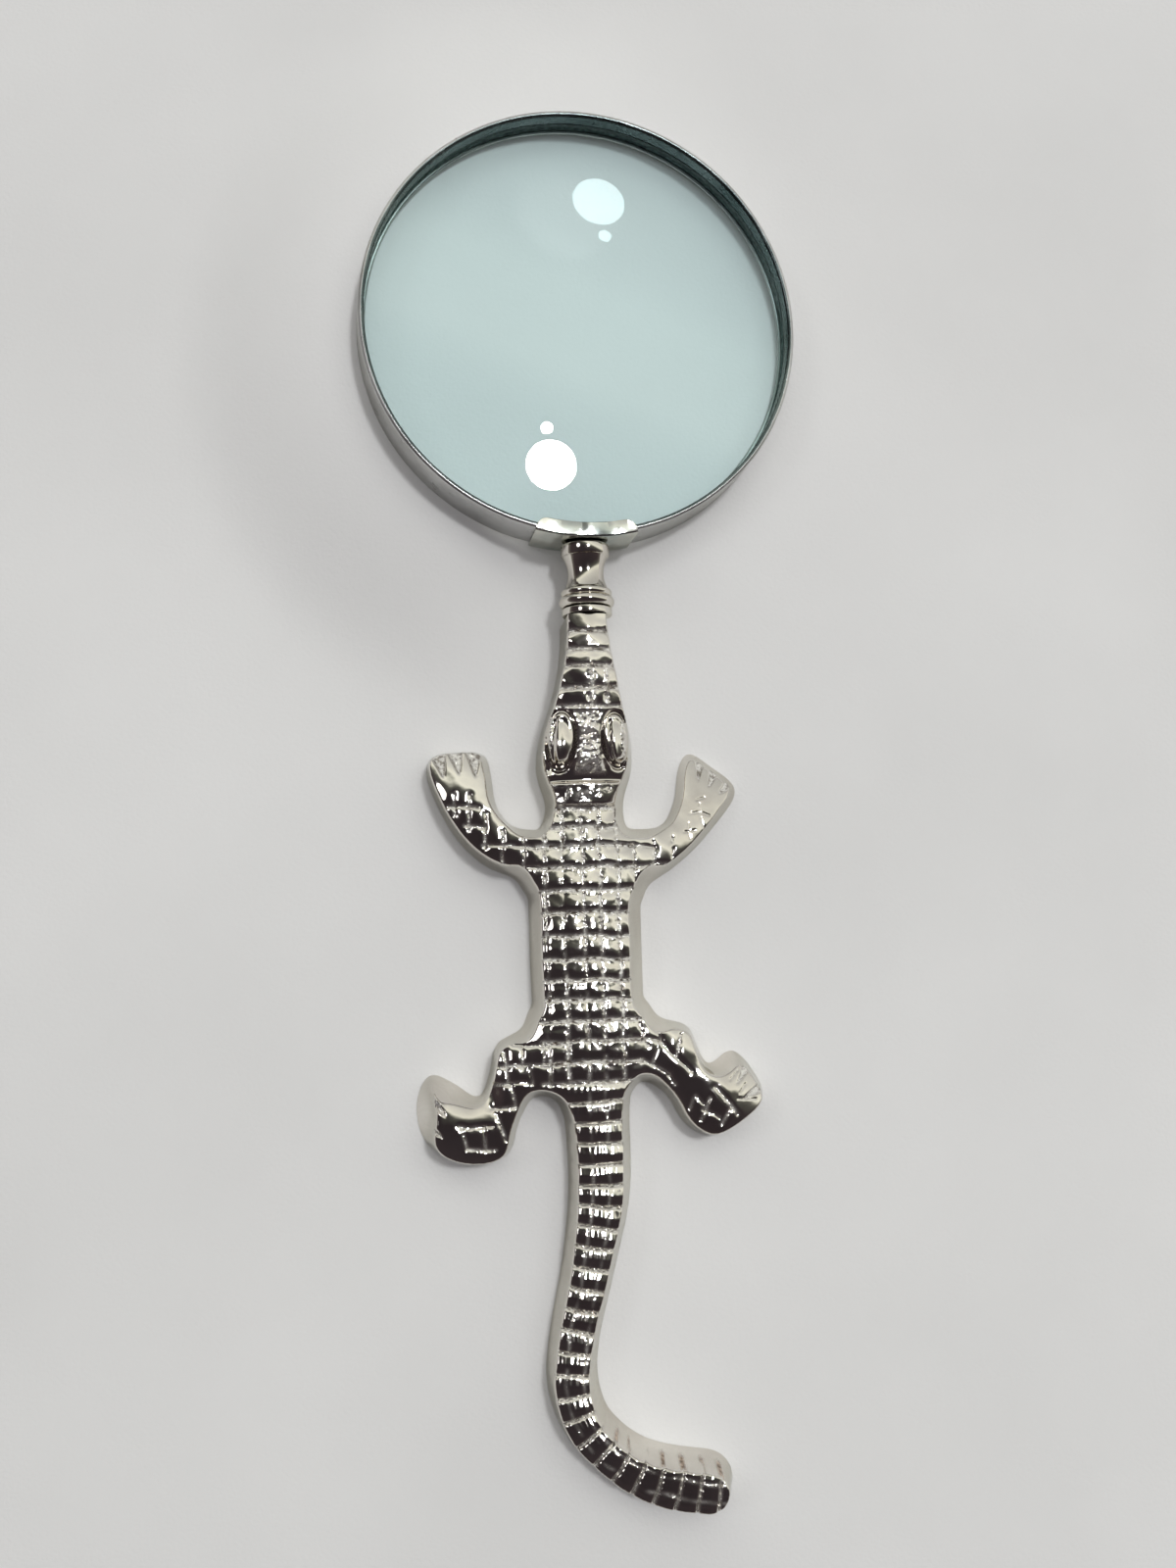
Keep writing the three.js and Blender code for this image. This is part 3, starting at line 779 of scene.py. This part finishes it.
# Gaps between fingers and toes: apex x, y, open end x, y, half width at the open end, depth
FINGER_GAPS = [
    (-33.8, 37.4, -35.3, 44.6, 1.9, 2.2), (-30.2, 38.0, -31.4, 45.4, 1.9, 2.2),
    (-26.6, 37.2, -27.0, 45.2, 2.0, 2.2), (25.0, 35.6, 26.0, 42.0, 1.0, 1.2),
    (27.2, 34.2, 29.6, 39.6, 1.2, 1.2), (29.4, 32.8, 33.4, 36.2, 1.2, 1.2),
    (-34.8, -38.2, -39.4, -32.4, 1.1, 1.3), (-35.6, -42.6, -40.4, -38.4, 1.1, 1.1),
    (29.8, -33.6, 33.4, -28.6, 1.0, 1.0), (31.0, -36.8, 36.2, -34.0, 1.0, 1.0),
]
# Places where the wall is a wide slope: x, y, reach, extra inset
SLOPES = [(-40.5, -37.5, 5.5, 5.0), (-33.0, -31.5, 3.5, 1.4), (27.3, -27.2, 3.6, 3.2)]
# Hands and feet whose top leans down: x, y, direction x, y, half width, reach, slope, bend
BENDS = [
    (8.5, 14.5, 0.62, 0.78, 12, 34, 0.13, 0.004), (-30.0, 29.0, -0.1, 0.99, 8, 20, 0.10, 0.006),
    (24.5, -36.0, 0.9, 0.44, 8, 16, 0.16, 0.016), (-33.0, -39.5, -0.97, 0.1, 8, 12, 0.05, 0.02),
    (-30.0, -42.5, 0.0, 1.0, 5, 7, 0.14, 0.002),
]


def spine_coordinates(x, y):
    """Length along the spine from the tail's first ring and distance across it, at each grid point."""
    spacing = 0.4
    passes = 60
    knots = np.array(SPINE, float)
    lengths = np.concatenate([[0], np.cumsum(np.hypot(*np.diff(knots, axis=0).T))])
    places = np.arange(0, lengths[-1], spacing)
    line = np.stack([np.interp(places, lengths, knots[:, i]) for i in range(2)], axis=1)
    for _ in range(passes):
        line[1:-1] = (line[:-2] + 2 * line[1:-1] + line[2:]) / 4
    direction = np.gradient(line, axis=0)
    direction /= np.hypot(*direction.T)[:, None]
    near = nearest_points(line, x, y)
    offset = np.stack([x.ravel(), y.ravel()], axis=1) - line[near]
    ahead = np.sum(offset * direction[near], axis=1)
    across = offset[:, 1] * direction[near, 0] - offset[:, 0] * direction[near, 1]
    along = np.concatenate([[0], np.cumsum(np.hypot(*np.diff(line, axis=0).T))])
    ring_zero = along[np.argmin(np.abs(line[:, 1] - RING_START))]
    return (along[near] + ahead - ring_zero).reshape(x.shape), across.reshape(x.shape)


def nearest_line(values, lines):
    """Distance from each value to the nearest of the lines."""
    return np.min(np.abs(values[None] - np.array(lines)[:, None, None]), axis=0)


def pillow(distance_to_line, half_cell):
    """Nought on the line, rounding up to one at half a cell from it."""
    t = np.clip(distance_to_line / half_cell, 0, 1)
    return 1 - (1 - t) ** 2


def shingle(from_groove, length, crest):
    """One scale from its lower groove to the next: it rises to the crest, then falls and steepens."""
    v = np.clip(from_groove / length, 0, 1)
    rise = 1 - ((crest - v) / crest) ** 2
    fall = (v - crest) / (1 - crest)
    return np.where(v < crest, rise, 1 - 0.6 * fall - 0.4 * fall ** 2)


def ring_profile(from_groove, length, drop):
    """A ring from its lower groove to the next: steep, nearly level, then falling by the drop."""
    v = np.clip(from_groove / length, 0, 1)
    heights = [0, 0.55, 0.80, 1.0, 1.0, 1 - drop, 0.75 * (1 - drop), 0]
    return np.interp(v, [0, 0.06, 0.14, 0.42, 0.52, 0.86, 0.94, 1], heights)


def place_in_cell(value, lines):
    """How far each value is past the line below it, and how long its cell is."""
    lines = np.sort(np.array(lines))
    index = np.clip(np.searchsorted(lines, value) - 1, 0, len(lines) - 2)
    return value - lines[index], lines[index + 1] - lines[index]


def channel(distance_to_line, width):
    """One on the line, fading smoothly over its width."""
    return np.exp(-(distance_to_line / width) ** 2)


def base_form(x, y, distance):
    """The plain casting: how high its drafted walls and its arched top are at every grid point."""
    body = smoothstep(19, 14, np.abs(x + 2))
    body = np.maximum(body, smoothstep(-100, -104, y))
    level = np.interp(y, *zip(*LEVEL)) * body + LIMB_LEVEL * (1 - body)
    inset = np.interp(y, *zip(*INSET)) * body + LIMB_INSET * (1 - body)
    inward = np.gradient(blur(distance, 8), STEP, axis=1)
    inset = inset * (1 - LEFT_LEAN * np.clip(inward, -1, 1))
    for sx, sy, reach, extra in SLOPES:
        inset = inset + extra * np.exp(-((x - sx) ** 2 + (y - sy) ** 2) / reach ** 2)
    top = level + ARCH * dome(distance)
    lean = np.interp(y, *zip(*LEAN)) * smoothstep(34, 12, np.abs(x + 2))
    top = top - lean * np.clip(x + 2.2, -9, 9)
    for bx, by, dx, dy, half, reach, slope, bend in BENDS:
        ahead = (x - bx) * dx + (y - by) * dy
        ahead = np.where(ahead > 4, ahead - 2, np.maximum(0, ahead) ** 2 / 8)
        aside = np.abs((y - by) * dx - (x - bx) * dy)
        share = smoothstep(half + 3, half, aside) * smoothstep(reach + 4, reach, ahead)
        top = top - (slope + bend * ahead) * ahead * share
    wall = (top - WALL_MARGIN) * distance / inset * (1 + 0.02 * noise(x.shape, 90))
    return wall, top


def torso_scales(x, y, wander, stroke):
    """Rows and columns of scales, shaped like shingles in front and like the tail's rings behind."""
    crown_height = 0.55
    groove_depth = 0.34
    groove_width = 0.30
    torso = smoothstep(RING_START - 1.5, RING_START + 1, y) * smoothstep(31, 30, y)
    torso = torso * smoothstep(-14.5, -13, x) * smoothstep(9.6, 8.6, x)
    rows = ROWS + [RING_START]
    row = nearest_line(y + wander, rows)
    column = nearest_line(x + wander[::-1], COLUMNS)
    past, length = place_in_cell(y + wander, rows)
    behind = smoothstep(8, -10, y)
    crown = (1 - behind) * shingle(past, length, 0.3) + behind * ring_profile(past, length, 0.3)
    uneven = np.clip(noise(x.shape, 20), -1, 1) * pillow(row, 1.5)
    relief = crown_height * crown - 0.6 + 0.16 * pillow(column, 1.7) + 0.05 * uneven
    relief -= groove_depth * (channel(row, groove_width) + stroke * channel(column, groove_width))
    grain = np.maximum(channel(row, 0.45), stroke * channel(column, 0.42))
    return torso * relief, torso * grain


def tail_rings(y, along, across, wander, stroke):
    """The tail's share of the surface, distance to its nearest groove, and its relief and grain."""
    ring_height = 0.75
    lengthwise_lines = [-1.9, 1.8]
    tail = smoothstep(RING_START + 1, RING_START - 1.5, y) * smoothstep(8.5, 7.5, np.abs(across))
    ring = np.abs((along + 0.6 * wander + RING_SPACING / 2) % RING_SPACING - RING_SPACING / 2)
    past = (-along - 0.6 * wander) % RING_SPACING
    lengthwise = nearest_line(across + wander, lengthwise_lines)
    relief = ring_height * ring_profile(past, RING_SPACING, 0.4) - 0.7 - 0.3 * channel(ring, 0.3)
    ticks = 0.035 * np.cos(4.6 * across + 9 * wander) * smoothstep(1.0, 3.0, past)
    relief += ticks - 0.12 * stroke * channel(lengthwise, 0.3)
    grain = 0.5 * np.maximum(channel(ring, 0.35), stroke * channel(lengthwise, 0.35))
    return tail, ring, tail * relief, tail * grain


def snout_rings(x, y, distance, wander):
    """The snout's share of the surface, distance to its nearest groove, and its relief and grain."""
    snout = smoothstep(52.0, 53.2, y)
    row = nearest_line(y + 0.5 * wander, SNOUT_GROOVES)
    shoulder = 0.8 + 1.4 * smoothstep(3.4, 1.2, distance)
    relief = 0.85 * pillow(row, shoulder) + 0.10 * pillow(row, 2.4) - 0.95
    relief += 0.05 * noise(x.shape, 26)
    seams = np.maximum(channel(x - 0.2, 0.7), channel(x - 3.6, 0.5)) * smoothstep(64, 61, y)
    relief += 0.10 * seams * noise(x.shape, 2)
    grain = np.maximum(0.8 * channel(row, 0.45), 0.7 * seams)
    return snout, row, snout * relief, snout * grain


def chased_lines(x, y, wander, stroke):
    """Relief and grain of the lines cut into the limbs. The broad ones lie in a shallow dip."""
    relief = np.zeros(x.shape)
    grain = np.zeros(x.shape)
    broad_lines = LEFT_ARM_LINES + RIGHT_ARM_LINES + LEFT_LEG_LINES + RIGHT_LEG_LINES
    kinds = ((broad_lines, 0.30, 0.26, 0.16, 0.7), (FINE_LINES, 0.20, 0.2, 0, 0.25))
    for lines, depth, width, dip, dullness in kinds:
        for line in lines:
            near, _ = segment_distance(x + wander, y + wander[::-1], line)
            relief -= depth * channel(near, width) + dip * channel(near, 3 * width)
            grain = np.maximum(grain, dullness * stroke * channel(near, 1.4 * width))
    return relief, grain


def finger_gaps(x, y):
    """Relief and grain of the wedge-shaped pits between fingers, deeper towards their open ends."""
    relief = np.zeros(x.shape)
    grain = np.zeros(x.shape)
    for ax, ay, bx, by, half, depth in FINGER_GAPS:
        near, t = segment_distance(x, y, (ax, ay, bx, by))
        pit = smoothstep(0.3, -0.2, near - half * t) * smoothstep(0.0, 0.3, t)
        relief -= depth * pit * (0.4 + 0.6 * t)
        grain = np.maximum(grain, 0.7 * pit)
    return relief, grain


def crocodile_relief(x, y, distance):
    """Height of the casting at every grid point, and how grainy and how stained it is there."""
    shape = x.shape
    wall, top = base_form(x, y, distance)
    along, across = spine_coordinates(x, y)
    wander = 0.14 * noise(shape, 60)
    stroke = 0.6 + 0.4 * np.clip(noise(shape, 30), -1.5, 1.5)
    torso_relief, torso_grain = torso_scales(x, y, wander, stroke)
    tail, ring, tail_relief, tail_grain = tail_rings(y, along, across, wander, stroke)
    snout, snout_row, snout_relief, snout_grain = snout_rings(x, y, distance, wander)
    line_relief, line_grain = chased_lines(x, y, wander, stroke)
    gap_relief, gap_grain = finger_gaps(x, y)
    relief = torso_relief + tail_relief + snout_relief + line_relief + gap_relief
    grain = np.maximum.reduce([torso_grain, tail_grain, snout_grain, line_grain, gap_grain])

    relief, grain = add_head(x, y, relief, grain)
    relief, grain = add_eyes(x, y, relief, grain)
    relief += grain * (0.12 * noise(shape, 1) + 0.08 * noise(shape, 4))
    relief += 0.03 * noise(shape, 40)
    notch = 0.5 * tail * channel(ring, 0.5) + 1.6 * snout * channel(snout_row, 0.8)
    height = soft_min(wall - notch, top + relief, 0.7 + 0.5 * snout)
    on_top = smoothstep(-0.4, 0.5, wall - (top + relief))
    curl = smoothstep(-6, 0, x) * smoothstep(-104, -110, y)
    stains = 1.5 * curl * tail * channel(ring, 0.6) * (1 - on_top) * smoothstep(3, 5.5, height)
    stains = stains * np.clip(0.7 + noise(shape, 8), 0, 1)
    return np.maximum(height, 0), np.clip(grain * on_top, 0, 1), np.clip(stains, 0, 1)


def add_head(x, y, relief, grain):
    """Nostrils, the rough strip between the eyes, the smooth hollow behind it and the collar."""
    for nx, ny in NOSTRILS:
        relief = relief - 0.7 * np.exp(-((x - nx) / 0.45) ** 2 - ((y - ny) / 0.9) ** 2)
    body = smoothstep(15, 13, np.abs(x + 1))
    head = smoothstep(52.4, 51.2, y) * smoothstep(29.6, 30.4, y) * body
    hollow = smoothstep(41.0, 38.6, y) * smoothstep(35.2, 36.2, y)
    relief = relief - 1.1 * head * hollow
    strip_half = 2.0 + 0.02 * (y - 46) ** 2
    strip = smoothstep(0.8, -0.8, np.abs(x + 0.8) - strip_half) * smoothstep(37.0, 39.0, y) * head
    fine = 0.09 * noise(x.shape, 2)
    broad = 0.08 * noise(x.shape, 12)
    relief = relief + strip * (0.3 - 0.1 * (y - 45) + fine + broad)
    grain = np.maximum(grain, 0.45 * strip)
    collar = smoothstep(36.0, 35.0, y) * smoothstep(30.0, 31.0, y) * body
    bulge = 0.24 * shingle(y - 30.3, 5.2, 0.15) + 0.1
    relief = relief + collar * (bulge + 0.04 * noise(x.shape, 24))
    grain = np.maximum(grain, 0.3 * collar * np.clip(noise(x.shape, 5), 0, 1))
    return relief, grain


def add_eyes(x, y, relief, grain):
    """Domed eyes in sockets, each creased lengthwise and beaded on its outer side, and jaw knobs."""
    for ex, ey, half_x, half_y, lean in EYES:
        u = (x - ex - lean * (y - ey)) / half_x
        v = (y - ey) / half_y
        reach = np.hypot(u, v)
        relief = relief + 1.3 * np.maximum(0, 1 - reach ** 2) - 0.8 * channel(reach - 1.06, 0.10)
        relief = relief - 0.17 * (y - ey) * smoothstep(1.0, 0.6, reach)
        crease = u + 0.3 + 0.25 * (1 - v ** 2)
        inside = smoothstep(0.95, 0.8, reach)
        relief = relief - inside * (0.5 * channel(crease, 0.13) - 0.25 * channel(crease - 0.3, 0.16))
        beads = channel(crease + 0.32 if ex < 0 else crease - 1.05, 0.12)
        grain = np.maximum(grain, 0.8 * beads * inside)
        relief = relief + 0.12 * beads * inside * np.cos(6.5 * (y - ey))
    for kx, ky in JAW_KNOBS:
        relief = relief + 0.9 * np.exp(-((x - kx) ** 2 + (y - ky) ** 2) / 1.1)
    return relief, grain


def ends_to_fill(bm):
    """Edges round the snout's cut end that still lack a face."""
    limit = (SNOUT_END - 0.01) * MM
    lacking = [edge for edge in bm.edges if len(edge.link_faces) < 2]
    return [edge for edge in lacking if min(v.co.y for v in edge.verts) > limit]


def close_casting(piece):
    """Cuts the casting square at the snout's end, then fills that cut and the flat back."""
    bm = bmesh.new()
    bm.from_mesh(piece.data)
    everything = bm.verts[:] + bm.edges[:] + bm.faces[:]
    bmesh.ops.bisect_plane(bm, geom=everything, plane_co=(0, SNOUT_END * MM, 0), plane_no=(0, 1, 0),
                           clear_outer=True)
    corners = {v for edge in ends_to_fill(bm) for v in edge.verts}
    low_pair = [v for v in corners if v.co.z < 1e-6]
    if len(low_pair) == 2:
        bm.edges.new(low_pair)
    bm.edges.ensure_lookup_table()
    bmesh.ops.edgenet_fill(bm, edges=ends_to_fill(bm))
    flat_edges = [edge for edge in bm.edges if len(edge.link_faces) == 1]
    bmesh.ops.edgenet_fill(bm, edges=flat_edges)
    bmesh.ops.recalc_face_normals(bm, faces=bm.faces)
    bm.to_mesh(piece.data)
    bm.free()


def add_crocodile():
    """A height map over the outline. The grid's rim is moved onto the outline itself."""
    margin = 1.2
    overhang = 0.35 * STEP
    thinnest = 0.02
    outline = smooth_outline()
    xs = np.arange(outline[:, 0].min() - margin, outline[:, 0].max() + margin, STEP)
    ys = np.arange(outline[:, 1].min() - margin, outline[:, 1].max() + margin, STEP)
    x, y = np.meshgrid(xs, ys)
    distance, foot = signed_distance(outline, x, y)
    height, grain, stains = crocodile_relief(x, y, distance)

    kept = distance > -overhang
    cells = kept[:-1, :-1] & kept[1:, :-1] & kept[:-1, 1:] & kept[1:, 1:]
    around = np.zeros(kept.shape, int)
    for rows in (slice(None, -1), slice(1, None)):
        for columns in (slice(None, -1), slice(1, None)):
            around[rows, columns] += cells
    used = around > 0
    rim = used & (around < 4)
    number = np.full(kept.shape, -1)
    number[used] = np.arange(used.sum())
    px = np.where(rim, foot[..., 0], x)[used]
    py = np.where(rim, foot[..., 1], y)[used]
    pz = np.where(rim, 0, np.maximum(height, thinnest))[used]
    points = np.stack([px, py, pz], axis=1)
    i, j = np.nonzero(cells)
    quads = np.stack([number[i, j], number[i, j + 1], number[i + 1, j + 1], number[i + 1, j]], axis=1)
    faces = [tuple(q) for q in quads.tolist()]
    piece = add_piece("crocodile_casting", points, faces, cast_nickel(),
                      "handle", "crocodile_handle")
    for name, values in (("grain", grain), ("stains", stains)):
        attribute = piece.data.attributes.new(name, "FLOAT", "POINT")
        attribute.data.foreach_set("value", values[used].astype(np.float32))
    close_casting(piece)
    piece.data.shade_smooth()
    sharpen(piece, 75)


# ---- Floor, light and world ----

LAMP_DISTANCE = 4.0
FLOOR_REACH = 3000


def cloth_height(x, y):
    """Flat, but for a soft rise up to the raised left side of the tilted head."""
    clearance = 0.3
    reach = 46
    underside = LENS_CENTRE[2] - BAND_HALF - math.sin(HEAD_ROLL) * x - clearance
    from_head = np.hypot(x - LENS_CENTRE[0], y - LENS_CENTRE[1])
    from_handle, _ = segment_distance(x, y, (0, SNOUT_END, 0, 20))
    rise = smoothstep(BAND_RADIUS + reach, BAND_RADIUS, from_head) * smoothstep(4, 38, from_handle)
    return np.maximum(underside, 0) * rise


def add_floor():
    near = np.arange(-160, 241, 4.0)
    places = np.concatenate([[-FLOOR_REACH], near, [FLOOR_REACH]])
    x, y = np.meshgrid(places, places)
    points = np.stack([x, y, cloth_height(x, y)], axis=-1).reshape(-1, 3) * MM
    mesh = bpy.data.meshes.new("floor")
    mesh.from_pydata(points.tolist(), [], grid_faces(len(places), len(places), False, False))
    mesh.materials.append(floor_cloth())
    floor = bpy.data.objects.new("floor", mesh)
    floor.location.z = -0.0001
    bpy.context.scene.collection.objects.link(floor)
    mesh.shade_smooth()


def add_lamp(name, direction, diameter, power, mirrored):
    """A round lamp at LAMP_DISTANCE from the lens; a soft fill isn't mirrored in the metal."""
    data = bpy.data.lights.new(name, "AREA")
    data.shape = "DISK"
    data.size = diameter
    data.energy = power
    data.color = (0.99, 0.99, 1.0)
    lamp = bpy.data.objects.new(name, data)
    towards = Vector(direction).normalized()
    lamp.location = Vector(LENS_CENTRE * MM) + towards * LAMP_DISTANCE
    lamp.rotation_euler = towards.to_track_quat("Z", "Y").to_euler()
    lamp.visible_glossy = mirrored
    lamp.visible_transmission = mirrored
    bpy.context.scene.collection.objects.link(lamp)


def add_world():
    """A dim brown room, pale beyond the lens and to the right. The camera sees it plain."""
    world = bpy.data.worlds.new("room")
    world.use_nodes = True
    nodes, links = world.node_tree.nodes, world.node_tree.links
    place = nodes.new("ShaderNodeTexCoord")
    split = nodes.new("ShaderNodeSeparateXYZ")
    links.new(place.outputs["Generated"], split.inputs["Vector"])
    rise = split.outputs["Z"]
    dim = ramp(nodes, links, rise, [(0.0, (0.40, 0.38, 0.36)), (0.10, (0.13, 0.12, 0.11)),
                                    (0.30, (0.055, 0.042, 0.045)), (1.0, (0.032, 0.026, 0.029))])
    sideways = math_node(nodes, links, "MULTIPLY", split.outputs["X"], 0.4)
    towards = math_node(nodes, links, "ADD", sideways, split.outputs["Y"])
    pale = ramp(nodes, links, towards, [(0.26, (0.36, 0.41, 0.32)), (0.42, (1.0, 1.0, 0.88)),
                                        (0.62, (0.74, 0.74, 0.69)), (1.0, (0.50, 0.50, 0.48))])
    share = ramp(nodes, links, towards, [(0.06, (0, 0, 0)), (0.31, (0.15, 0.15, 0.15)), (0.41, (1, 1, 1))])
    room = mix_colours(nodes, links, share, dim, pale)
    path = nodes.new("ShaderNodeLightPath")
    plain = nodes.new("ShaderNodeRGB")
    plain.outputs["Color"].default_value = (0.66, 0.66, 0.65, 1)
    background = nodes["Background"]
    seen = mix_colours(nodes, links, path.outputs["Is Camera Ray"], room, plain.outputs["Color"])
    links.new(seen, background.inputs["Color"])
    bpy.context.scene.world = world


add_camera()
add_crocodile()
add_neck()
add_stud()
add_lens()
add_rim()
add_retaining_ring()
add_clip()
add_floor()
add_world()
add_lamp("lamp_over", (0.215, 0.144, 0.965), diameter=0.37, power=47, mirrored=True)
add_lamp("lamp_small", (0.207, 0.211, 0.955), diameter=0.09, power=1.5, mirrored=True)
add_lamp("lamp_left", (-0.56, 0.18, 0.81), diameter=1.00, power=10, mirrored=True)
add_lamp("soft_fill", (0.14, 0.10, 0.985), diameter=4.6, power=62, mirrored=False)
bpy.context.scene.view_settings.view_transform = "Standard"
